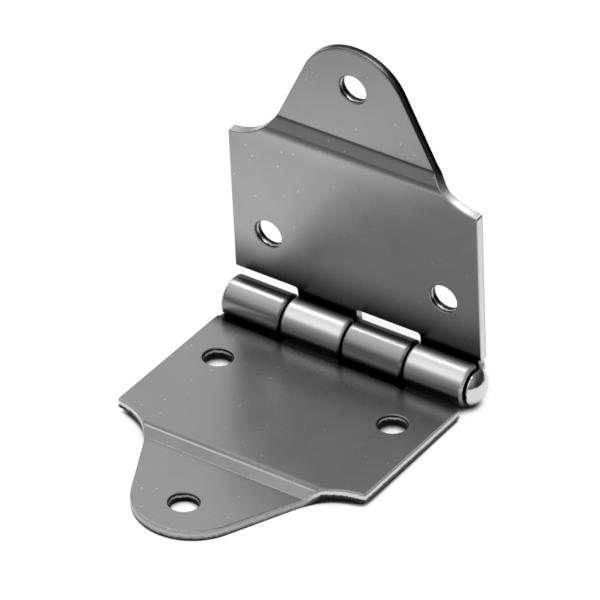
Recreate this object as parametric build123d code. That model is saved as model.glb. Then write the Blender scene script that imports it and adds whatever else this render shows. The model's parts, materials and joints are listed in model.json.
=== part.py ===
from build123d import *
import math
import os

# Flight case hinge: two pressed steel leaves on one pin.
# Both leaves are the same pressing. Each has rolled knuckles, a flat plate with two
# holes, and a tongue with one hole, which is set back from the plate by a crank.
#
# Frame, in millimetres: X runs along the pin and Z is up. The origin is half way between
# the base leaf's two plate holes, on the back of its plate. The base leaf lies flat
# toward -Y and the swing leaf stands up from the pin.
#
# A leaf is drawn in its own frame before it is placed: its origin is at the middle of
# the pin, X is along the pin, Y runs out along the leaf and Z is up toward the side
# that the knuckles stand on.

# Sheet, barrel and pin
sheet = 1.6
pin_radius = 2.14
pin_clearance = 0.06
knuckle_pairs = 2
knuckle_gap = 0.4
knuckle_edge_chamfer = 0.4
outer_knuckle_inset = 0.45
roll_end_gap = 0.7
barrel_proud = 0.4
notch_clearance = 1.1
notch_corner_radius = 0.5

# Plate and tongue
leaf_width = 47.6
shoulder_reach = 32.5
shoulder_corner_radius = 0.4
scallop_radius = 11.0
scallop_outset = 0.6
tongue_length = 23.1
tongue_radius = 10.1
front_edge_round = 0.2

# Crank between the plate and the tongue
shoulder_to_crank = 2.7
crank_length = 2.2
crank_offset = 1.3
crank_soft_radius = 1.0
crank_crisp_radius = 0.3

# Holes, for 4.8 mm rivets or screws
hole_diameter = 5.1
hole_edge_chamfer = 0.15
plate_hole_inset = 6.9
plate_hole_reach = 13.9
tongue_hole_inset = 7.3

# Pin ends: a high domed head at +X, and riveted over low at -X.
# Each flares out to a rim and is domed beyond it.
head_clearance = 0.08
head_foot_overhang = 0.5
head_overhang = 1.06
head_rim_height = 0.55
head_rim_chamfer = 0.15
head_dome_height = 1.7
riveted_foot_overhang = 0.3
riveted_overhang = 0.5
riveted_rim_height = 0.2
riveted_rim_chamfer = 0.08
riveted_dome_height = 0.3

# The angle between the leaves, as they stand
open_angle = 86.0

roll_inner = pin_radius + pin_clearance
roll_outer = roll_inner + sheet
plate_front = -(roll_inner - barrel_proud)
plate_back = plate_front - sheet
tongue_front = plate_front - crank_offset
tongue_back = plate_back - crank_offset
half_width = leaf_width / 2
knuckle_count = 2 * knuckle_pairs
knuckle_pitch = leaf_width / knuckle_count
notch_reach = roll_outer + notch_clearance
tongue_tip = shoulder_reach + tongue_length
tongue_centre = tongue_tip - tongue_radius
tongue_hole_reach = tongue_tip - tongue_hole_inset
plate_hole_x = half_width - plate_hole_inset
crank_start = shoulder_reach + shoulder_to_crank
crank_end = crank_start + crank_length
past_leaf = 2 * roll_outer


def polar(radius, angle):
    return Vector(radius * math.cos(angle), radius * math.sin(angle))


def neck_tilt():
    """Angle by which the neck leans back from the plate to meet the roll."""
    reach = math.hypot(plate_front, notch_reach)
    return math.asin(roll_inner / reach) + math.atan2(plate_front, notch_reach)


def roll_section():
    """The curled sheet around the pin, from the neck round to its free end."""
    start = neck_tilt() - math.pi / 2
    meets_plate = math.asin(plate_front / roll_outer)
    end = meets_plate + roll_end_gap / roll_outer - 2 * math.pi
    middle = (start + end) / 2
    outer = ThreePointArc(polar(roll_outer, start), polar(roll_outer, middle), polar(roll_outer, end))
    inner = ThreePointArc(polar(roll_inner, end), polar(roll_inner, middle), polar(roll_inner, start))
    return make_face([outer, Line(outer @ 1, inner @ 0), inner, Line(inner @ 1, outer @ 0)])


def plate_section():
    """Neck, plate, crank and tongue, cut along the leaf."""
    tilt = neck_tilt()
    root = tilt - math.pi / 2
    neck_shift = sheet * math.tan(tilt / 2)
    crank_shift = sheet * math.tan(math.atan2(crank_offset, crank_length) / 2)
    bend_down = Vector(crank_start, plate_front)
    bend_level = Vector(crank_end, tongue_front)
    bend_down_back = Vector(crank_start - crank_shift, plate_back)
    bend_level_back = Vector(crank_end - crank_shift, tongue_back)
    outline = Polyline(
        polar(roll_inner, root),
        (notch_reach, plate_front),
        bend_down,
        bend_level,
        (tongue_tip + sheet, tongue_front),
        (tongue_tip + sheet, tongue_back),
        bend_level_back,
        bend_down_back,
        (notch_reach + neck_shift, plate_back),
        polar(roll_outer, root),
        close=True,
    )
    section = make_face(outline)
    section = rounded(section, bend_down, crank_soft_radius + sheet)
    section = rounded(section, bend_down_back, crank_soft_radius)
    section = rounded(section, bend_level, crank_crisp_radius)
    return rounded(section, bend_level_back, crank_crisp_radius + sheet)


def rounded(face, corner, radius):
    """The flat face with one of its corners rounded."""
    return fillet(face.vertices().sort_by_distance(corner)[0], radius)


def leaf_outline():
    """The flat blank, seen from the knuckle side."""
    drop = math.sqrt(scallop_radius**2 - scallop_outset**2)
    scallop_centre = Vector(half_width + scallop_outset, shoulder_reach + drop)
    across = Vector(0, tongue_centre) - scallop_centre
    toward_tongue = math.pi - math.asin(across.Y / across.length)
    first = 1.5 * math.pi - math.asin(scallop_outset / scallop_radius)
    last = toward_tongue + math.acos((scallop_radius + tongue_radius) / across.length)
    shoulder = Vector(half_width, shoulder_reach)
    hollow = scallop_centre + polar(scallop_radius, (first + last) / 2)
    leave = scallop_centre + polar(scallop_radius, last)
    join = Vector(0, tongue_centre) - polar(tongue_radius, last)
    tip = Vector(0, tongue_tip)
    end = Vector(half_width, -past_leaf)
    right = [
        Line(end, shoulder),
        ThreePointArc(shoulder, hollow, leave),
        Line(leave, join),
    ]
    left = [mirror(line, Plane.YZ) for line in right]
    tongue_end = ThreePointArc(join, tip, (-join.X, join.Y))
    base = Line((-half_width, -past_leaf), end)
    face = make_face([*right, tongue_end, *left, base])
    face = rounded(face, shoulder, shoulder_corner_radius)
    return rounded(face, (-half_width, shoulder_reach, 0), shoulder_corner_radius)


def knuckle_span(index):
    """Where a knuckle starts and ends along the pin."""
    start = -half_width + index * knuckle_pitch
    end = start + knuckle_pitch
    start += knuckle_gap / 2 if index > 0 else outer_knuckle_inset
    end -= knuckle_gap / 2 if index < knuckle_count - 1 else outer_knuckle_inset
    return start, end


def notch_span(index):
    """Where a leaf is cut away for a knuckle of the other leaf."""
    start = -half_width + index * knuckle_pitch - knuckle_gap / 2
    end = start + knuckle_pitch + knuckle_gap
    if index == 0:
        start -= past_leaf
    return start, end


def drawn_out(face, start, end):
    """A section across the pin, drawn out along it."""
    return extrude(Pos(start, 0, 0) * (Plane.YZ * face), end - start)


def notch(index):
    start, end = notch_span(index)
    block = Pos(start, notch_reach, 0) * Box(
        end - start, notch_reach + past_leaf, 2 * past_leaf, align=(Align.MIN, Align.MAX, Align.CENTER)
    )
    corners = block.edges().filter_by(Axis.Z).group_by(Axis.Y)[-1]
    return fillet(corners, notch_corner_radius)


def outer_trim():
    """The strip cut off the side of a leaf beside its outer knuckle, for the pin's head."""
    reach = roll_outer + head_clearance
    return Pos(half_width - outer_knuckle_inset, reach, 0) * Box(
        past_leaf, reach + past_leaf, 2 * past_leaf, align=(Align.MIN, Align.MAX, Align.CENTER)
    )


def knuckle(index):
    start, end = knuckle_span(index)
    curl = drawn_out(roll_section(), start, end)
    middle_radius = (roll_inner + roll_outer) / 2
    rims = [edge for edge in curl.edges().filter_by(GeomType.CIRCLE) if edge.radius > middle_radius]
    return chamfer(rims, knuckle_edge_chamfer)


def hole(x, y, front):
    """The material that a hole takes out of a leaf, with its front rim broken."""
    radius = hole_diameter / 2
    shank = Pos(x, y, front) * Cylinder(radius, 4 * sheet)
    rim = Pos(x, y, front - hole_edge_chamfer / 2) * Cone(
        radius, radius + hole_edge_chamfer, hole_edge_chamfer
    )
    return shank + rim


def rounded_front(body):
    """Rounds the front outline of the plate and tongue, which the punch drew in."""
    faces = [face for face in body.faces() if face.normal_at(face.center()).Z > 0.3]
    edges = [edge for face in faces for edge in face.edges()]
    outline = [edge for edge in edges if sum(edge.is_same(other) for other in edges) == 1]
    hair = sheet / 100
    on_plate = [edge for edge in outline if edge.bounding_box().min.Y > notch_reach - hair]
    return fillet(on_plate, front_edge_round)


def leaf():
    blank = drawn_out(plate_section(), -half_width, half_width)
    body = blank & extrude(leaf_outline(), 2 * past_leaf, both=True)
    for index in range(0, knuckle_count, 2):
        body -= notch(index)
    body = rounded_front(body) - outer_trim()
    body -= hole(-plate_hole_x, plate_hole_reach, plate_front)
    body -= hole(plate_hole_x, plate_hole_reach, plate_front)
    body -= hole(0, tongue_hole_reach, tongue_front)
    for index in range(1, knuckle_count, 2):
        body += knuckle(index)
    return body


def dome_middle(radius, rim, crown):
    """The point half way along a dome's arc, from its rim to its crown."""
    rise = crown - rim
    dome_radius = (radius**2 + rise**2) / (2 * rise)
    sweep = math.asin(radius / dome_radius) / 2
    return (crown - dome_radius * (1 - math.cos(sweep)), dome_radius * math.sin(sweep))


def pin_half(foot_overhang, overhang, rim_height, rim_chamfer, dome_height):
    """The pin from its middle to its +X end, with that end's head."""
    foot = half_width - outer_knuckle_inset + head_clearance
    rim = foot + rim_height
    crown = rim + dome_height
    radius = pin_radius + overhang
    outline = [
        Line((0, 0), (0, pin_radius)),
        Line((0, pin_radius), (foot, pin_radius)),
        Line((foot, pin_radius), (foot, pin_radius + foot_overhang)),
        Line((foot, pin_radius + foot_overhang), (rim, radius)),
        ThreePointArc((rim, radius), dome_middle(radius, rim, crown), (crown, 0)),
        Line((crown, 0), (0, 0)),
    ]
    section = make_face(outline)
    corner = section.vertices().sort_by_distance((rim, radius, 0))[0]
    return revolve(chamfer(corner, rim_chamfer), Axis.X)


def hinge_pin():
    """Plain pin with a domed head at one end, riveted over low at the other."""
    domed = pin_half(
        head_foot_overhang, head_overhang, head_rim_height, head_rim_chamfer, head_dome_height
    )
    riveted = pin_half(
        riveted_foot_overhang,
        riveted_overhang,
        riveted_rim_height,
        riveted_rim_chamfer,
        riveted_dome_height,
    )
    return domed + mirror(riveted, Plane.YZ)


pin_place = Pos(0, plate_hole_reach, -plate_back)

pressing = leaf()
base_leaf = pin_place * Rot(0, 0, 180) * pressing
swing_leaf = pin_place * Rot(180 - open_angle, 0, 0) * pressing
pin = pin_place * hinge_pin()

os.makedirs("parts", exist_ok=True)
export_step(base_leaf, "parts/base_leaf.step")
export_step(swing_leaf, "parts/swing_leaf.step")
export_step(pin, "parts/hinge_pin.step")
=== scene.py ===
import json
import math

import bpy
import numpy as np
from mathutils import Matrix, Vector


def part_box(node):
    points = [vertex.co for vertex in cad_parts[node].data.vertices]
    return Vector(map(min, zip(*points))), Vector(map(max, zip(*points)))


bl_info = {
    "name": "Flight Case Hinge",
    "version": (1, 0, 0),
    "blender": (4, 5, 0),
    "location": "3D View > Sidebar > Hinge",
    "description": "Finishes and studio for a pressed steel flight case hinge",
    "category": "Object",
}

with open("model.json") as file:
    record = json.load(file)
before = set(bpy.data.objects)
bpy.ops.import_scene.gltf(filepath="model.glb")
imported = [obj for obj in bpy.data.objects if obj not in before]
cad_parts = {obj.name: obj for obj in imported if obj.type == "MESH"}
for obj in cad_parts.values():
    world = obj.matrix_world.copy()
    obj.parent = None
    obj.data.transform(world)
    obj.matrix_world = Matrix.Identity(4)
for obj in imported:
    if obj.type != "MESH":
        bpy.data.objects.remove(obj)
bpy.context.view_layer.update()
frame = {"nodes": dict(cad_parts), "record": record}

MM = 0.001
MOUNTS = {mount["name"]: mount for mount in frame["record"]["mounts"]}
PIN_LOW, PIN_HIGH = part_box("hinge_pin")
PIN_MIDDLE = Vector((0, (PIN_LOW[1] + PIN_HIGH[1]) / 2, (PIN_LOW[2] + PIN_HIGH[2]) / 2))
BARREL_RADIUS = 3.8 * MM
SHEET = 1.6 * MM
# The fronts of the plate and the tongue, below the pin's axis
PLATE_BELOW_PIN = 1.8 * MM
TONGUE_BELOW_PIN = 3.1 * MM
# The crank, from the pin toward the tongue, and how far its tones run on to either side of it
CRANK_START = 35.2 * MM
CRANK_END = 37.4 * MM
CRANK_MARGIN = 4.0 * MM
# From the middle of a leaf to either plate hole, and the reach of a hole's wall from its mount
HOLE_STEP = Vector((16.9 * MM, 0, 0))
HOLE_REACH = 3.5 * MM
# How near another surface must come for painted shade on the steel, and how near the hinge
# must come to darken the paper with painted shadow
PAINTED_SHADE_REACH = 4.0 * MM
CONTACT_REACH = 8.0 * MM
SHELTER_REACH = 30.0 * MM
# Nearly all the values of a noise texture lie between these
NOISE_LOW = 0.3
NOISE_HIGH = 0.7
# How far the steel's roughness varies, up and down
ROUGHNESS_SPREAD = 0.03

# Tones through a sheared edge, from the leaf's front to its back: a burnished band, then a broken band.
# The dark line under the front rim is painted shade, and the black at the back is the broken band with
# painted shadow under it. The bright, grey and dark edges are painted light and shade, by how light
# falls on each edge.
BURNISHED_EDGE_PAINTED_SHADE = [(0.0, 0.8), (0.08, 0.45), (0.18, 0.45), (0.28, 1.0), (0.6, 0.9), (0.7, 0.08), (1.0, 0.03)]
PAINTED_GREY_EDGE = [(0.0, 0.9), (0.15, 0.45), (0.3, 0.55), (0.5, 0.8), (0.75, 0.7), (0.9, 0.35), (1.0, 0.2)]
PAINTED_BRIGHT_EDGE = [(0.0, 0.9), (0.1, 0.7), (0.2, 1.0), (0.75, 1.0), (0.88, 0.7), (1.0, 0.9)]
PAINTED_DARK_EDGE = [(0.0, 0.5), (0.12, 0.12), (0.3, 0.35), (0.45, 0.35), (0.6, 0.04), (1.0, 0.03)]
PUNCHED_EDGE_PAINTED_SHADE = [(0.0, 0.06), (0.12, 0.02), (0.28, 0.03), (0.38, 0.8), (0.5, 1.0), (0.6, 0.04), (1.0, 0.02)]

# Painted light and shade on each leaf, and the bands through its sheared edges. The knuckles' painted
# highlights and shade go by degrees around the pin, from the way that the plate faces toward the tongue.
# The crank's painted shade and highlights go by the share of the way along the leaf, from where the margin
# before the crank starts to where the margin after it ends. The plate has painted shade beside the barrel,
# darkest up to painted_shade_from, measured from the pin's axis, and none beyond painted_shade_end.
PAINTED_LIGHT_AND_EDGE_BANDS = {
    "base_leaf": {
        "knuckles": [
            (-180, 0.8), (-85, 0.8), (-60, 0.3), (0, 0.25), (9, 0.3), (13, 0.74), (31, 0.74),
            (44, 0.4), (70, 0.34), (110, 0.31), (140, 0.33), (165, 0.8), (180, 0.8),
        ],
        "crank": [
            (0.0, 1.0), (0.36, 1.0), (0.394, 0.75), (0.418, 0.42), (0.445, 0.84), (0.59, 0.84),
            (0.61, 0.72), (0.64, 0.95), (0.72, 1.04),
        ],
        "plate_edge": BURNISHED_EDGE_PAINTED_SHADE,
        "tongue_edge": PAINTED_GREY_EDGE,
        "painted_shade_from": 4.0 * MM,
        "painted_shade_end": 7.6 * MM,
    },
    "swing_leaf": {
        "knuckles": [
            (-180, 0.8), (-75, 0.8), (-45, 0.12), (0, 0.3), (12, 0.3), (22, 0.6), (36, 0.7),
            (44, 1.0), (85, 1.0), (105, 0.6), (140, 0.2), (165, 0.8), (180, 0.8),
        ],
        "crank": [
            (0.0, 1.0), (0.3, 1.15), (0.4, 0.75), (0.6, 0.7), (0.63, 0.15), (0.655, 0.15),
            (0.68, 1.0), (1.0, 1.0),
        ],
        "plate_edge": PAINTED_BRIGHT_EDGE,
        "tongue_edge": PAINTED_DARK_EDGE,
        "painted_shade_from": 4.6 * MM,
        "painted_shade_end": 14.0 * MM,
    },
}

# Metal sees the paper end behind the hinge on the right, and less light on it at the left. Each
# fades along its way, from one distance to another from the origin, down to its tone.
PAPER_FADES = [
    {"toward": Vector((0.7, 0.7, 0.0)), "start": 100 * MM, "end": 150 * MM, "tone": 0.06},
    {"toward": Vector((-0.6, -0.8, 0.0)), "start": 35 * MM, "end": 95 * MM, "tone": 0.4},
]

LAMP_DISTANCE = 0.9
# Each lamp's direction from the pin, its sides in metres and its power in watts
LAMPS = [
    {
        "name": "lamp_overhead",
        "toward": (-0.456, -0.02, 0.89),
        "along_pin": 0.80,
        "across_pin": 0.16,
        "power": 1.0,
    },
    {
        "name": "lamp_behind",
        "toward": (0.10, 0.70, 0.71),
        "along_pin": 0.45,
        "across_pin": 0.30,
        "power": 1.1,
    },
]


def mount_place(name):
    """Where a mount of the record is, in metres."""
    return Vector(MOUNTS[name]["pos_m"])


def leaf_frame(plate_mount, tongue_mount):
    """The way that a leaf's plate faces, on the side of its knuckles, and the way out to its tongue."""
    facing = Vector(MOUNTS[plate_mount]["axis"])
    away = mount_place(tongue_mount) - PIN_MIDDLE
    out = away - facing * away.dot(facing)
    return facing, Vector((0, out.y, out.z)).normalized()


LEAVES = {
    "base_leaf": leaf_frame("base_plate_holes", "base_tongue_hole"),
    "swing_leaf": leaf_frame("swing_tongue_hole", "swing_tongue_hole"),
}
HOLES = {
    "base_leaf": [
        mount_place("base_tongue_hole"),
        mount_place("base_plate_holes") - HOLE_STEP,
        mount_place("base_plate_holes") + HOLE_STEP,
    ],
    "swing_leaf": [
        mount_place("swing_tongue_hole"),
        mount_place("swing_plate_hole_left"),
        mount_place("swing_plate_hole_right"),
    ],
}


def linear(hex_colour):
    """The linear colour of an sRGB hex value, with alpha 1."""
    values = np.array([int(hex_colour[i : i + 2], 16) / 255 for i in (1, 3, 5)])
    curve = np.where(values <= 0.04045, values / 12.92, ((values + 0.055) / 1.055) ** 2.4)
    return (*(float(value) for value in curve), 1.0)


def per_metre(size_mm):
    """The texture scale that gives a pattern of this size in millimetres."""
    return 1.0 / (size_mm * MM)


def add(tree, kind, inputs=None, **settings):
    """Adds a node, sets its properties, and links or fills its inputs."""
    node = tree.nodes.new(kind)
    for name, value in settings.items():
        setattr(node, name, value)
    for name, value in (inputs or {}).items():
        live = [entry for entry in node.inputs if entry.enabled and entry.name == name]
        socket = live[0] if live else node.inputs[name]
        if isinstance(value, bpy.types.NodeSocket):
            tree.links.new(value, socket)
        else:
            socket.default_value = value
    return node


def new_material(name):
    """A material with an empty node tree, and that tree."""
    material = bpy.data.materials.new(name)
    material.use_nodes = True
    material.node_tree.nodes.clear()
    return material, material.node_tree


def fill_ramp(colour_ramp, stops):
    """Sets a colour ramp to greys, from a list of positions and values."""
    while len(colour_ramp.elements) < len(stops):
        colour_ramp.elements.new(0.5)
    for element, (position, value) in zip(colour_ramp.elements, stops):
        element.position = position
        element.color = (value, value, value, 1.0)


class HingeFinish(bpy.types.PropertyGroup):
    """Colours and gloss of the plated steel."""

    sheet_colour: bpy.props.FloatVectorProperty(
        name="Sheet", description="Satin plated sheet",
        size=4, subtype="COLOR", min=0, max=1, default=linear("#a7a7a7"),
    )
    base_curl_colour: bpy.props.FloatVectorProperty(
        name="Base knuckles", description="Burnished knuckles of the base leaf",
        size=4, subtype="COLOR", min=0, max=1, default=linear("#e4e4e4"),
    )
    swing_curl_colour: bpy.props.FloatVectorProperty(
        name="Swing knuckles", description="Burnished knuckles of the swing leaf",
        size=4, subtype="COLOR", min=0, max=1, default=linear("#ececec"),
    )
    edge_colour: bpy.props.FloatVectorProperty(
        name="Sheared edge", description="Plated sheared edges",
        size=4, subtype="COLOR", min=0, max=1, default=linear("#dadada"),
    )
    pin_colour: bpy.props.FloatVectorProperty(
        name="Pin", description="Plated wire of the pin",
        size=4, subtype="COLOR", min=0, max=1, default=linear("#d8d8d8"),
    )
    sheet_roughness: bpy.props.FloatProperty(
        name="Sheet roughness", description="Roughness of the flat sheet",
        default=0.27, min=0.05, max=1,
    )
    base_curl_roughness: bpy.props.FloatProperty(
        name="Base knuckle roughness", description="Roughness of the base leaf's knuckles",
        default=0.24, min=0.05, max=1,
    )
    swing_curl_roughness: bpy.props.FloatProperty(
        name="Swing knuckle roughness", description="Roughness of the swing leaf's knuckles",
        default=0.33, min=0.05, max=1,
    )
    edge_roughness: bpy.props.FloatProperty(
        name="Edge roughness", description="Roughness of the sheared edges",
        default=0.33, min=0.05, max=1,
    )
    pin_roughness: bpy.props.FloatProperty(
        name="Pin roughness", description="Roughness of the pin",
        default=0.16, min=0.05, max=1,
    )


class HingeStage(bpy.types.PropertyGroup):
    """Camera and studio."""

    azimuth: bpy.props.FloatProperty(
        name="Azimuth", description="Camera's turn from looking along +Y",
        default=math.radians(33.62), subtype="ANGLE",
    )
    elevation: bpy.props.FloatProperty(
        name="Elevation", description="Camera's height above the plate",
        default=math.radians(34.53), subtype="ANGLE",
    )
    distance: bpy.props.FloatProperty(
        name="Distance", description="From the camera to the pin's middle",
        default=1.0048, unit="LENGTH",
    )
    lens: bpy.props.FloatProperty(
        name="Lens", description="Focal length in millimetres", default=370.2,
    )
    aim_left: bpy.props.FloatProperty(
        name="Aim left", description="How far left of the pin's middle the camera aims",
        default=0.00843, unit="LENGTH",
    )
    aim_up: bpy.props.FloatProperty(
        name="Aim up", description="How far above the pin's middle the camera aims",
        default=0.0065, unit="LENGTH",
    )
    floor_size: bpy.props.FloatProperty(
        name="Floor", description="Length of the floor's side", default=6.0, unit="LENGTH",
    )
    paper_colour: bpy.props.FloatVectorProperty(
        name="Paper", description="Background paper, as soft light meets it",
        size=4, subtype="COLOR", min=0, max=1, default=linear("#e6e6e6"),
    )


def painted_gap_shade(tree):
    """Painted shade: dark where another surface comes within a few millimetres."""
    near = add(tree, "ShaderNodeAmbientOcclusion", {"Distance": PAINTED_SHADE_REACH}, samples=8).outputs["AO"]
    return add(
        tree,
        "ShaderNodeMapRange",
        {"Value": near, "From Min": 0.3, "From Max": 0.85, "To Min": 0.03, "To Max": 1.0},
        interpolation_type="SMOOTHSTEP",
    ).outputs["Result"]


def leaf_place(tree, node_name):
    """Where a point lies on its leaf, as sockets.

    height and reach: from the pin, the way that the plate faces and toward the tongue
    radius: from the pin's axis
    curled: 1 on the knuckles, 0 on the plate
    sheared: 1 where the surface is cut through the sheet, away from the knuckles
    depth: below the leaf's front, as a share of the sheet. The front steps back at the crank."""
    facing, out = LEAVES[node_name]
    coordinates = add(tree, "ShaderNodeTexCoord")
    position = coordinates.outputs["Object"]
    from_pin = add(
        tree, "ShaderNodeVectorMath", {0: position, 1: PIN_MIDDLE}, operation="SUBTRACT"
    ).outputs[0]
    height = add(
        tree, "ShaderNodeVectorMath", {0: from_pin, 1: facing}, operation="DOT_PRODUCT"
    ).outputs["Value"]
    reach = add(
        tree, "ShaderNodeVectorMath", {0: from_pin, 1: out}, operation="DOT_PRODUCT"
    ).outputs["Value"]
    across = add(
        tree, "ShaderNodeVectorMath", {0: from_pin, 1: (0, 1, 1)}, operation="MULTIPLY"
    ).outputs[0]
    radius = add(tree, "ShaderNodeVectorMath", {0: across}, operation="LENGTH").outputs["Value"]
    curled = add(
        tree,
        "ShaderNodeMapRange",
        {"Value": radius, "From Min": BARREL_RADIUS + 0.5 * MM, "From Max": BARREL_RADIUS + 0.1 * MM},
        interpolation_type="SMOOTHSTEP",
    ).outputs["Result"]

    flat = add(tree, "ShaderNodeMath", {0: 1.0, 1: curled}, operation="SUBTRACT").outputs[0]
    facing_dot = add(
        tree, "ShaderNodeVectorMath", {0: coordinates.outputs["Normal"], 1: facing}, operation="DOT_PRODUCT"
    ).outputs["Value"]
    flatness = add(tree, "ShaderNodeMath", {0: facing_dot}, operation="ABSOLUTE").outputs[0]
    cut = add(
        tree,
        "ShaderNodeMapRange",
        {"Value": flatness, "From Min": 0.8, "From Max": 0.55},
        interpolation_type="SMOOTHSTEP",
    ).outputs["Result"]
    sheared = add(tree, "ShaderNodeMath", {0: cut, 1: flat}, operation="MULTIPLY").outputs[0]

    front = add(
        tree,
        "ShaderNodeMapRange",
        {
            "Value": reach,
            "From Min": CRANK_START,
            "From Max": CRANK_END,
            "To Min": -PLATE_BELOW_PIN,
            "To Max": -TONGUE_BELOW_PIN,
        },
    ).outputs["Result"]
    below = add(tree, "ShaderNodeMath", {0: front, 1: height}, operation="SUBTRACT").outputs[0]
    depth = add(tree, "ShaderNodeMath", {0: below, 1: SHEET}, operation="DIVIDE").outputs[0]
    return {
        "position": position,
        "from_pin": from_pin,
        "height": height,
        "reach": reach,
        "radius": radius,
        "curled": curled,
        "sheared": sheared,
        "depth": depth,
    }


def plating_patterns(tree, place, facing):
    """The marks in the plating, as sockets, each at its own size."""
    position = place["position"]
    # Satin grain of the plated sheet, drawn three times coarser than the real 0.05 mm
    grain = add(
        tree,
        "ShaderNodeTexNoise",
        {"Vector": position, "Scale": per_metre(0.16), "Detail": 3.0, "Roughness": 0.6},
    ).outputs["Fac"]
    # Cloudy plating, about 9 mm across
    cloud = add(
        tree,
        "ShaderNodeTexNoise",
        {"Vector": position, "Scale": per_metre(9.0), "Detail": 4.0, "Roughness": 0.55},
    ).outputs["Fac"]
    # Lines that the curling die left along the pin, 0.5 mm apart
    stretched = add(
        tree, "ShaderNodeVectorMath", {0: place["from_pin"], 1: (0.03, 1.0, 1.0)}, operation="MULTIPLY"
    ).outputs[0]
    lines = add(
        tree,
        "ShaderNodeTexNoise",
        {"Vector": stretched, "Scale": per_metre(0.5), "Detail": 2.0, "Roughness": 0.6},
    ).outputs["Fac"]
    # Shear marks run through the sheet's thickness, about 0.7 mm apart
    squashed = add(tree, "ShaderNodeMath", {0: place["height"], 1: -0.7}, operation="MULTIPLY").outputs[0]
    lifted = add(tree, "ShaderNodeVectorMath", {0: facing, "Scale": squashed}, operation="SCALE").outputs[0]
    shear_place = add(tree, "ShaderNodeVectorMath", {0: position, 1: lifted}, operation="ADD").outputs[0]
    shear_marks = add(
        tree,
        "ShaderNodeTexNoise",
        {"Vector": shear_place, "Scale": per_metre(0.7), "Detail": 4.0, "Roughness": 0.7},
    ).outputs["Fac"]
    # Small bright specks, about 0.3 mm across and 5 mm apart: one shows where the middle of a 2.2 mm
    # cell comes to the surface
    spots = add(
        tree, "ShaderNodeTexVoronoi", {"Vector": position, "Scale": per_metre(2.2), "Randomness": 1.0}
    ).outputs["Distance"]
    specks = add(
        tree, "ShaderNodeMapRange", {"Value": spots, "From Min": 0.1, "From Max": 0.04}
    ).outputs["Result"]
    return {"grain": grain, "cloud": cloud, "lines": lines, "shear_marks": shear_marks, "specks": specks}


def flat_tone(tree, place, patterns, painted_light_and_edges):
    """Tone of the flat sheet: clouds and specks, with painted shade and highlights at the crank and painted
    shade beside the barrel.
    """
    cloudy = add(
        tree,
        "ShaderNodeMapRange",
        {
            "Value": patterns["cloud"],
            "From Min": NOISE_LOW,
            "From Max": NOISE_HIGH,
            "To Min": 0.94,
            "To Max": 1.05,
        },
    ).outputs["Result"]
    speckled = add(
        tree, "ShaderNodeMath", {0: patterns["specks"], 1: 0.8, 2: cloudy}, operation="MULTIPLY_ADD"
    ).outputs[0]
    # Painted shade on the crank's slope, a painted dark line at a bend and painted highlights beside them
    crank_share = add(
        tree,
        "ShaderNodeMapRange",
        {
            "Value": place["reach"],
            "From Min": CRANK_START - CRANK_MARGIN,
            "From Max": CRANK_END + CRANK_MARGIN,
        },
    ).outputs["Result"]
    painted_crank_bands = add(tree, "ShaderNodeValToRGB", {"Fac": crank_share})
    fill_ramp(painted_crank_bands.color_ramp, painted_light_and_edges["crank"])
    crank_painted_tone = add(
        tree, "ShaderNodeMath", {0: speckled, 1: painted_crank_bands.outputs["Color"]}, operation="MULTIPLY"
    ).outputs[0]
    # Painted shade: the plate is darkened beside the barrel, where the barrel shades it
    painted_shade_beside_barrel = add(
        tree,
        "ShaderNodeMapRange",
        {
            "Value": place["radius"],
            "From Min": painted_light_and_edges["painted_shade_from"],
            "From Max": painted_light_and_edges["painted_shade_end"],
            "To Min": 0.12,
            "To Max": 1.0,
        },
        interpolation_type="SMOOTHSTEP",
    ).outputs["Result"]
    return add(
        tree, "ShaderNodeMath", {0: crank_painted_tone, 1: painted_shade_beside_barrel}, operation="MULTIPLY"
    ).outputs[0]


def painted_knuckle_light(tree, place, tones):
    """Painted highlights and shade on the knuckles, in bands around the pin."""
    turn = add(
        tree, "ShaderNodeMath", {0: place["reach"], 1: place["height"]}, operation="ARCTAN2"
    ).outputs[0]
    turn_share = add(
        tree, "ShaderNodeMapRange", {"Value": turn, "From Min": -math.pi, "From Max": math.pi}
    ).outputs["Result"]
    bands = add(tree, "ShaderNodeValToRGB", {"Fac": turn_share})
    fill_ramp(bands.color_ramp, [(0.5 + degrees / 360, tone) for degrees, tone in tones])
    return bands.outputs["Color"]


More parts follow.
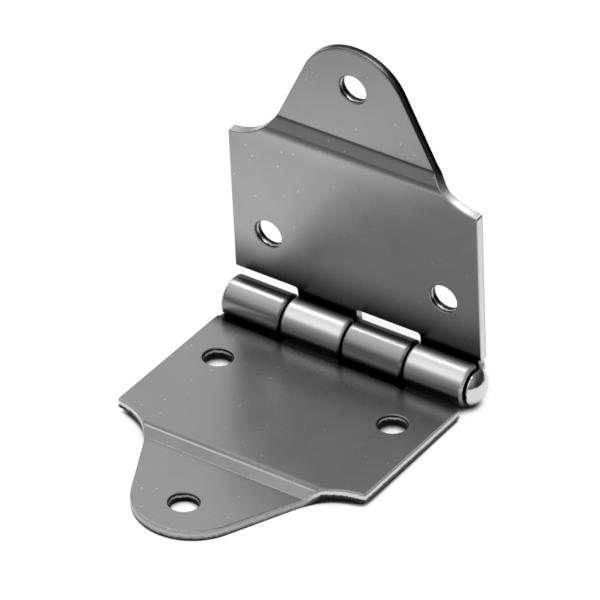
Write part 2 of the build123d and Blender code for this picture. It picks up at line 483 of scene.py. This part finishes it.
def edge_tone(tree, place, patterns, painted_light_and_edges, holes):
    """Tone of a sheared edge, in uneven bands through the sheet, with painted light and shade."""
    wander = add(
        tree,
        "ShaderNodeMapRange",
        {
            "Value": patterns["shear_marks"],
            "From Min": NOISE_LOW,
            "From Max": NOISE_HIGH,
            "To Min": -0.1,
            "To Max": 0.1,
        },
    ).outputs["Result"]
    uneven = add(tree, "ShaderNodeMath", {0: place["depth"], 1: wander}, operation="ADD").outputs[0]
    plate_bands = add(tree, "ShaderNodeValToRGB", {"Fac": uneven})
    fill_ramp(plate_bands.color_ramp, painted_light_and_edges["plate_edge"])
    tongue_bands = add(tree, "ShaderNodeValToRGB", {"Fac": uneven})
    fill_ramp(tongue_bands.color_ramp, painted_light_and_edges["tongue_edge"])
    on_tongue = add(
        tree,
        "ShaderNodeMapRange",
        {"Value": place["reach"], "From Min": CRANK_START, "From Max": CRANK_END},
    ).outputs["Result"]
    outer_edge = add(
        tree,
        "ShaderNodeMix",
        {"Factor": on_tongue, "A": plate_bands.outputs["Color"], "B": tongue_bands.outputs["Color"]},
        data_type="RGBA",
    ).outputs[2]
    # A hole's wall is punched: painted shade under its rim, then a narrow burnished band, then the
    # broken band with painted shadow
    punched_bands = add(tree, "ShaderNodeValToRGB", {"Fac": uneven})
    fill_ramp(punched_bands.color_ramp, PUNCHED_EDGE_PAINTED_SHADE)
    nearest = 1.0
    for hole in holes:
        apart = add(
            tree, "ShaderNodeVectorMath", {0: place["position"], 1: hole}, operation="DISTANCE"
        ).outputs["Value"]
        nearest = add(tree, "ShaderNodeMath", {0: nearest, 1: apart}, operation="MINIMUM").outputs[0]
    in_hole = add(
        tree,
        "ShaderNodeMapRange",
        {"Value": nearest, "From Min": HOLE_REACH + 0.5 * MM, "From Max": HOLE_REACH},
    ).outputs["Result"]
    return add(
        tree,
        "ShaderNodeMix",
        {"Factor": in_hole, "A": outer_edge, "B": punched_bands.outputs["Color"]},
        data_type="RGBA",
    ).outputs[2]


def leaf_colour(tree, place, patterns, node_name, finish, curl_colour):
    """Colour of a leaf: its sheet, knuckles and edges, each with its tone and painted light and shade, and
    painted shade in the gaps.
    """
    painted_light_and_edges = PAINTED_LIGHT_AND_EDGE_BANDS[node_name]
    sheet = add(
        tree,
        "ShaderNodeVectorMath",
        {0: finish.sheet_colour[:3], "Scale": flat_tone(tree, place, patterns, painted_light_and_edges)},
        operation="SCALE",
    ).outputs[0]
    curls = add(
        tree,
        "ShaderNodeVectorMath",
        {0: painted_knuckle_light(tree, place, painted_light_and_edges["knuckles"]), 1: curl_colour[:3]},
        operation="MULTIPLY",
    ).outputs[0]
    edges = add(
        tree,
        "ShaderNodeVectorMath",
        {0: edge_tone(tree, place, patterns, painted_light_and_edges, HOLES[node_name]), 1: finish.edge_colour[:3]},
        operation="MULTIPLY",
    ).outputs[0]
    with_curls = add(
        tree, "ShaderNodeMix", {"Factor": place["curled"], "A": sheet, "B": curls}, data_type="RGBA"
    ).outputs[2]
    with_edges = add(
        tree, "ShaderNodeMix", {"Factor": place["sheared"], "A": with_curls, "B": edges}, data_type="RGBA"
    ).outputs[2]
    # Painted shade in the gaps, where other surfaces come near
    return add(
        tree,
        "ShaderNodeMix",
        {"Factor": 1.0, "A": with_edges, "B": painted_gap_shade(tree)},
        data_type="RGBA",
        blend_type="MULTIPLY",
    ).outputs[2]


def leaf_gloss(tree, place, patterns, finish, curl_roughness):
    """Roughness of a leaf: the sheet's varies with its clouds, and the knuckles' with their lines."""
    gloss = {}
    for pattern, roughness in {"cloud": finish.sheet_roughness, "lines": curl_roughness}.items():
        gloss[pattern] = add(
            tree,
            "ShaderNodeMapRange",
            {
                "Value": patterns[pattern],
                "From Min": NOISE_LOW,
                "From Max": NOISE_HIGH,
                "To Min": roughness - ROUGHNESS_SPREAD,
                "To Max": roughness + ROUGHNESS_SPREAD,
            },
        ).outputs["Result"]
    front_gloss = add(
        tree, "ShaderNodeMix", {"Factor": place["curled"], "A": gloss["cloud"], "B": gloss["lines"]}
    ).outputs[0]
    return add(
        tree, "ShaderNodeMix", {"Factor": place["sheared"], "A": front_gloss, "B": finish.edge_roughness}
    ).outputs[0]


def leaf_relief(tree, place, patterns):
    """The normal of a leaf: rounded edges, fine grain, the die's lines and the shear marks."""
    # Edges are rounded by 0.15 mm on the sheet and by 0.45 mm on the knuckles
    edge_round = add(
        tree, "ShaderNodeMapRange", {"Value": place["curled"], "To Min": 0.15 * MM, "To Max": 0.45 * MM}
    ).outputs["Result"]
    soft_edges = add(tree, "ShaderNodeBevel", {"Radius": edge_round}, samples=6).outputs[0]
    grained = add(
        tree,
        "ShaderNodeBump",
        {"Height": patterns["grain"], "Strength": 0.10, "Distance": 0.02 * MM, "Normal": soft_edges},
    ).outputs[0]
    # The curls are not quite round: their crowns lean, as if their faces were cut back by an eighth
    toward_base_tongue = LEAVES["base_leaf"][1]
    lean = add(
        tree, "ShaderNodeVectorMath", {0: place["from_pin"], 1: toward_base_tongue}, operation="DOT_PRODUCT"
    ).outputs["Value"]
    lean_height = add(tree, "ShaderNodeMath", {0: lean, 1: -0.12 / MM}, operation="MULTIPLY").outputs[0]
    curl_height = add(
        tree, "ShaderNodeMath", {0: patterns["lines"], 1: 0.006, 2: lean_height}, operation="MULTIPLY_ADD"
    ).outputs[0]
    lined = add(
        tree,
        "ShaderNodeBump",
        {"Height": curl_height, "Strength": place["curled"], "Distance": MM, "Normal": grained},
    ).outputs[0]
    return add(
        tree,
        "ShaderNodeBump",
        {
            "Height": patterns["shear_marks"],
            "Strength": place["sheared"],
            "Distance": 0.05 * MM,
            "Normal": lined,
        },
    ).outputs[0]


def plated_sheet(node_name, finish, curl_colour, curl_roughness):
    """Cold rolled steel sheet with bright plating: satin plates, burnished knuckles, sheared edges.

    The plate's gloss is soft, with a fine even grain, clouds and a few bright specks, and painted shade
    beside the barrel and at the crank. The curling die has rubbed the knuckles brighter, in lines along
    the pin; painted highlights and shade lie on them in bands around it. A sheared edge has a burnished
    band under its front rim and a broken band behind it, with painted light and shade through it."""
    material, tree = new_material("satin_plated_" + node_name)
    place = leaf_place(tree, node_name)
    patterns = plating_patterns(tree, place, LEAVES[node_name][0])
    steel = add(
        tree,
        "ShaderNodeBsdfPrincipled",
        {
            "Base Color": leaf_colour(tree, place, patterns, node_name, finish, curl_colour),
            "Metallic": 1.0,
            "Roughness": leaf_gloss(tree, place, patterns, finish, curl_roughness),
            "Normal": leaf_relief(tree, place, patterns),
        },
    )
    add(tree, "ShaderNodeOutputMaterial", {"Surface": steel.outputs[0]})
    return material


def plated_wire(finish):
    """Bright plated steel wire with cold headed ends: smooth, with shallow hammered dents."""
    material, tree = new_material("bright_plated_pin_wire")
    position = add(tree, "ShaderNodeTexCoord").outputs["Object"]
    # Dents about 1.6 mm across
    dents = add(
        tree, "ShaderNodeTexNoise", {"Vector": position, "Scale": per_metre(1.6), "Detail": 2.0}
    ).outputs["Fac"]
    dented = add(
        tree, "ShaderNodeBump", {"Height": dents, "Strength": 0.5, "Distance": 0.15 * MM}
    ).outputs[0]
    # Painted shade where other surfaces come near, as under the pin's head
    shaded = add(
        tree,
        "ShaderNodeMix",
        {"Factor": 1.0, "A": tuple(finish.pin_colour), "B": painted_gap_shade(tree)},
        data_type="RGBA",
        blend_type="MULTIPLY",
    ).outputs[2]
    steel = add(
        tree,
        "ShaderNodeBsdfPrincipled",
        {"Base Color": shaded, "Metallic": 1.0, "Roughness": finish.pin_roughness, "Normal": dented},
    )
    add(tree, "ShaderNodeOutputMaterial", {"Surface": steel.outputs[0]})
    return material


def dress(node_name, material):
    """Gives a CAD node its finish."""
    mesh = frame["nodes"][node_name].data
    mesh.materials.clear()
    mesh.materials.append(material)


def resting_slope():
    """Slope of the floor under the hinge, along Y.

    The hinge rests on its barrel and on the bend behind the base tongue, so the floor is the
    steepest line from under the barrel that stays below every point of the base leaf."""
    mesh = frame["nodes"]["base_leaf"].data
    points = np.empty(len(mesh.vertices) * 3)
    mesh.vertices.foreach_get("co", points)
    points = points.reshape(-1, 3)
    out = PIN_MIDDLE.y - points[:, 1]
    down = PIN_MIDDLE.z - BARREL_RADIUS - points[:, 2]
    beyond_barrel = out > 2 * BARREL_RADIUS
    return float((down[beyond_barrel] / out[beyond_barrel]).max())


def floor_sheet(size, slope):
    """A square of the plane z = barrel's underside + slope * (y - pin), as one flat grid."""
    cells = 8
    steps = np.linspace(-size / 2, size / 2, cells + 1)
    x, y = np.meshgrid(steps, steps, indexing="ij")
    z = PIN_MIDDLE.z - BARREL_RADIUS + slope * (y - PIN_MIDDLE.y)
    points = np.stack([x, y, z], axis=-1).reshape(-1, 3)
    row = cells + 1
    low = (np.arange(cells)[:, None] * row + np.arange(cells)).ravel()
    faces = np.stack([low, low + row, low + row + 1, low + 1], axis=1)
    mesh = bpy.data.meshes.new("studio_floor")
    mesh.from_pydata(points.tolist(), [], faces.tolist())
    mesh.update()
    floor = bpy.data.objects.new("studio_floor", mesh)
    bpy.context.scene.collection.objects.link(floor)
    return floor


def seen_rays(tree):
    """1 for rays from the camera, mirror rays and rays through glass, 0 for soft light."""
    path = add(tree, "ShaderNodeLightPath")
    first = add(
        tree,
        "ShaderNodeMath",
        {0: path.outputs["Is Camera Ray"], 1: path.outputs["Is Glossy Ray"]},
        operation="MAXIMUM",
    ).outputs[0]
    return add(
        tree, "ShaderNodeMath", {0: first, 1: path.outputs["Is Transmission Ray"]}, operation="MAXIMUM"
    ).outputs[0]


def paper_shadow(tree, position):
    """The hinge's shadow on the paper, as a colour for contact and a strength for shelter behind it."""
    contact = add(tree, "ShaderNodeAmbientOcclusion", {"Distance": CONTACT_REACH}, samples=16).outputs["AO"]
    contact_tone = add(tree, "ShaderNodeValToRGB", {"Fac": contact})
    fill_ramp(contact_tone.color_ramp, [(0.0, 0.0), (0.33, 0.02), (0.42, 0.45), (0.5, 0.92), (0.61, 1.0)])
    shelter = add(tree, "ShaderNodeAmbientOcclusion", {"Distance": SHELTER_REACH}, samples=16).outputs["AO"]
    shelter_tone = add(
        tree, "ShaderNodeMapRange", {"Value": shelter, "From Min": 0.4, "From Max": 0.7, "To Min": 0.2}
    ).outputs["Result"]
    depth = add(tree, "ShaderNodeSeparateXYZ", {0: position}).outputs["Y"]
    behind = add(
        tree,
        "ShaderNodeMapRange",
        {"Value": depth, "From Min": PIN_MIDDLE.y + 2 * MM, "From Max": PIN_MIDDLE.y + 5 * MM},
    ).outputs["Result"]
    sheltered = add(tree, "ShaderNodeMix", {"Factor": behind, "A": 1.0, "B": shelter_tone}).outputs[0]
    return contact_tone.outputs["Color"], sheltered


def mirrored_paper(tree, position):
    """How bright metal sees the paper, after both of its fades."""
    brightness = 1.0
    for fade in PAPER_FADES:
        along = add(
            tree, "ShaderNodeVectorMath", {0: position, 1: fade["toward"]}, operation="DOT_PRODUCT"
        ).outputs["Value"]
        tone = add(
            tree,
            "ShaderNodeMapRange",
            {
                "Value": along,
                "From Min": fade["start"],
                "From Max": fade["end"],
                "To Min": 1.0,
                "To Max": fade["tone"],
            },
        ).outputs["Result"]
        brightness = add(tree, "ShaderNodeMath", {0: brightness, 1: tone}, operation="MULTIPLY").outputs[0]
    return brightness


def white_paper(colour):
    """Seamless white background paper, which shows as white and keeps the hinge's shadow."""
    material, tree = new_material("seamless_white_paper")
    position = add(tree, "ShaderNodeNewGeometry").outputs["Position"]
    contact_colour, sheltered = paper_shadow(tree, position)
    path = add(tree, "ShaderNodeLightPath")
    brightness = add(
        tree,
        "ShaderNodeMix",
        {"Factor": path.outputs["Is Camera Ray"], "A": mirrored_paper(tree, position), "B": 1.0},
    ).outputs[0]
    strength = add(tree, "ShaderNodeMath", {0: sheltered, 1: brightness}, operation="MULTIPLY").outputs[0]
    glow = add(tree, "ShaderNodeEmission", {"Color": contact_colour, "Strength": strength})
    paper = add(tree, "ShaderNodeBsdfDiffuse", {"Color": tuple(colour)})
    surface = add(
        tree, "ShaderNodeMixShader", {"Fac": seen_rays(tree), 1: paper.outputs[0], 2: glow.outputs[0]}
    )
    add(tree, "ShaderNodeOutputMaterial", {"Surface": surface.outputs[0]})
    return material


def studio_world():
    """White where the camera looks past the floor. Metal sees a tall room, dark low down, pale up high."""
    world = bpy.data.worlds.new("studio_room")
    world.use_nodes = True
    tree = world.node_tree
    tree.nodes.clear()
    direction = add(tree, "ShaderNodeTexCoord").outputs["Generated"]
    apart = add(tree, "ShaderNodeSeparateXYZ", {0: direction})
    height = add(tree, "ShaderNodeValToRGB", {"Fac": apart.outputs["Z"]})
    fill_ramp(
        height.color_ramp,
        [(0.0, 0.10), (0.12, 0.18), (0.35, 0.5), (0.55, 0.85), (0.72, 0.85), (0.88, 0.55), (1.0, 0.5)],
    )
    # The room is dark on the right and behind the hinge
    dark_side = add(
        tree,
        "ShaderNodeVectorMath",
        {0: direction, 1: Vector((1.0, 0.6, 0.0)).normalized()},
        operation="DOT_PRODUCT",
    ).outputs["Value"]
    side = add(tree, "ShaderNodeValToRGB", {"Fac": dark_side})
    fill_ramp(side.color_ramp, [(0.0, 1.0), (0.35, 0.8), (0.8, 0.12)])
    dim_room = add(
        tree,
        "ShaderNodeMix",
        {"Factor": 1.0, "A": height.outputs["Color"], "B": side.outputs["Color"]},
        data_type="RGBA",
        blend_type="MULTIPLY",
    ).outputs[2]
    # A pale wall, beyond where the base leaf points
    front_wall = add(
        tree,
        "ShaderNodeMapRange",
        {"Value": apart.outputs["Y"], "From Min": -0.75, "From Max": -0.45, "To Min": 1.45, "To Max": 1.0},
    ).outputs["Result"]
    room = add(
        tree, "ShaderNodeVectorMath", {0: dim_room, "Scale": front_wall}, operation="SCALE"
    ).outputs[0]
    path = add(tree, "ShaderNodeLightPath")
    shown = add(
        tree,
        "ShaderNodeMix",
        {"Factor": path.outputs["Is Camera Ray"], "A": room, "B": (1.0, 1.0, 1.0, 1.0)},
        data_type="RGBA",
    ).outputs[2]
    light = add(tree, "ShaderNodeBackground", {"Color": shown, "Strength": 1.0})
    add(tree, "ShaderNodeOutputWorld", {"Surface": light.outputs[0]})
    bpy.context.scene.world = world


def soft_box(name, toward, along_pin, across_pin, power):
    """A rectangular lamp that faces the hinge from a direction, with one side along the pin."""
    lamp = bpy.data.lights.new(name, "AREA")
    lamp.shape = "RECTANGLE"
    lamp.size = along_pin
    lamp.size_y = across_pin
    lamp.energy = power
    away = Vector(toward).normalized()
    side = (Vector((1, 0, 0)) - away * away.x).normalized()
    hold = Matrix((side, away.cross(side), away)).transposed().to_4x4()
    hold.translation = PIN_MIDDLE + away * LAMP_DISTANCE
    box = bpy.data.objects.new(name, lamp)
    box.matrix_world = hold
    bpy.context.scene.collection.objects.link(box)


def photo_camera(stage):
    """The camera at the photograph's viewpoint, held by its right, up and back directions."""
    turn = Matrix.Rotation(stage.azimuth, 3, "Z")
    back = turn @ Vector((0, -math.cos(stage.elevation), math.sin(stage.elevation)))
    right = turn @ Vector((1, 0, 0))
    up = back.cross(right)
    lens = bpy.data.cameras.new("photo_camera")
    lens.lens = stage.lens
    lens.sensor_width = 36.0
    lens.clip_start = 0.05
    lens.clip_end = 50.0
    camera = bpy.data.objects.new("photo_camera", lens)
    aim = PIN_MIDDLE - right * stage.aim_left + up * stage.aim_up
    hold = Matrix((right, up, back)).transposed().to_4x4()
    hold.translation = aim + back * stage.distance
    camera.matrix_world = hold
    bpy.context.scene.collection.objects.link(camera)
    bpy.context.scene.camera = camera


class HINGE_OT_finish_leaves(bpy.types.Operator):
    """Plate both leaves"""

    bl_idname = "hinge.finish_leaves"
    bl_label = "Finish leaves"

    def execute(self, context):
        finish = context.scene.hinge_finish
        knuckles = {
            "base_leaf": (finish.base_curl_colour, finish.base_curl_roughness),
            "swing_leaf": (finish.swing_curl_colour, finish.swing_curl_roughness),
        }
        for node_name, (colour, roughness) in knuckles.items():
            dress(node_name, plated_sheet(node_name, finish, colour, roughness))
        return {"FINISHED"}


class HINGE_OT_finish_pin(bpy.types.Operator):
    """Plate the pin"""

    bl_idname = "hinge.finish_pin"
    bl_label = "Finish pin"

    def execute(self, context):
        dress("hinge_pin", plated_wire(context.scene.hinge_finish))
        return {"FINISHED"}


class HINGE_OT_set_stage(bpy.types.Operator):
    """Set up floor, room, lamps and camera"""

    bl_idname = "hinge.set_stage"
    bl_label = "Set stage"

    def execute(self, context):
        stage = context.scene.hinge_stage
        floor = floor_sheet(stage.floor_size, resting_slope())
        floor.data.materials.append(white_paper(stage.paper_colour))
        studio_world()
        for lamp in LAMPS:
            soft_box(**lamp)
        photo_camera(stage)
        context.scene.view_settings.view_transform = "Standard"
        return {"FINISHED"}


class HINGE_PT_panel(bpy.types.Panel):
    """Lists the hinge's steps and settings"""

    bl_label = "Flight Case Hinge"
    bl_idname = "HINGE_PT_panel"
    bl_space_type = "VIEW_3D"
    bl_region_type = "UI"
    bl_category = "Hinge"

    def draw(self, context):
        for operator in OPERATORS:
            self.layout.operator(operator.bl_idname)
        for group in (context.scene.hinge_finish, context.scene.hinge_stage):
            for name in group.__annotations__:
                self.layout.prop(group, name)


GROUPS = (HingeFinish, HingeStage)
OPERATORS = (HINGE_OT_finish_leaves, HINGE_OT_finish_pin, HINGE_OT_set_stage)
CLASSES = (*GROUPS, *OPERATORS, HINGE_PT_panel)


def register():
    for cls in CLASSES:
        bpy.utils.register_class(cls)
    bpy.types.Scene.hinge_finish = bpy.props.PointerProperty(type=HingeFinish)
    bpy.types.Scene.hinge_stage = bpy.props.PointerProperty(type=HingeStage)


def unregister():
    del bpy.types.Scene.hinge_stage
    del bpy.types.Scene.hinge_finish
    for cls in reversed(CLASSES):
        bpy.utils.unregister_class(cls)


def main():
    register()
    bpy.ops.hinge.finish_leaves()
    bpy.ops.hinge.finish_pin()
    bpy.ops.hinge.set_stage()


if __name__ == "__main__":
    main()
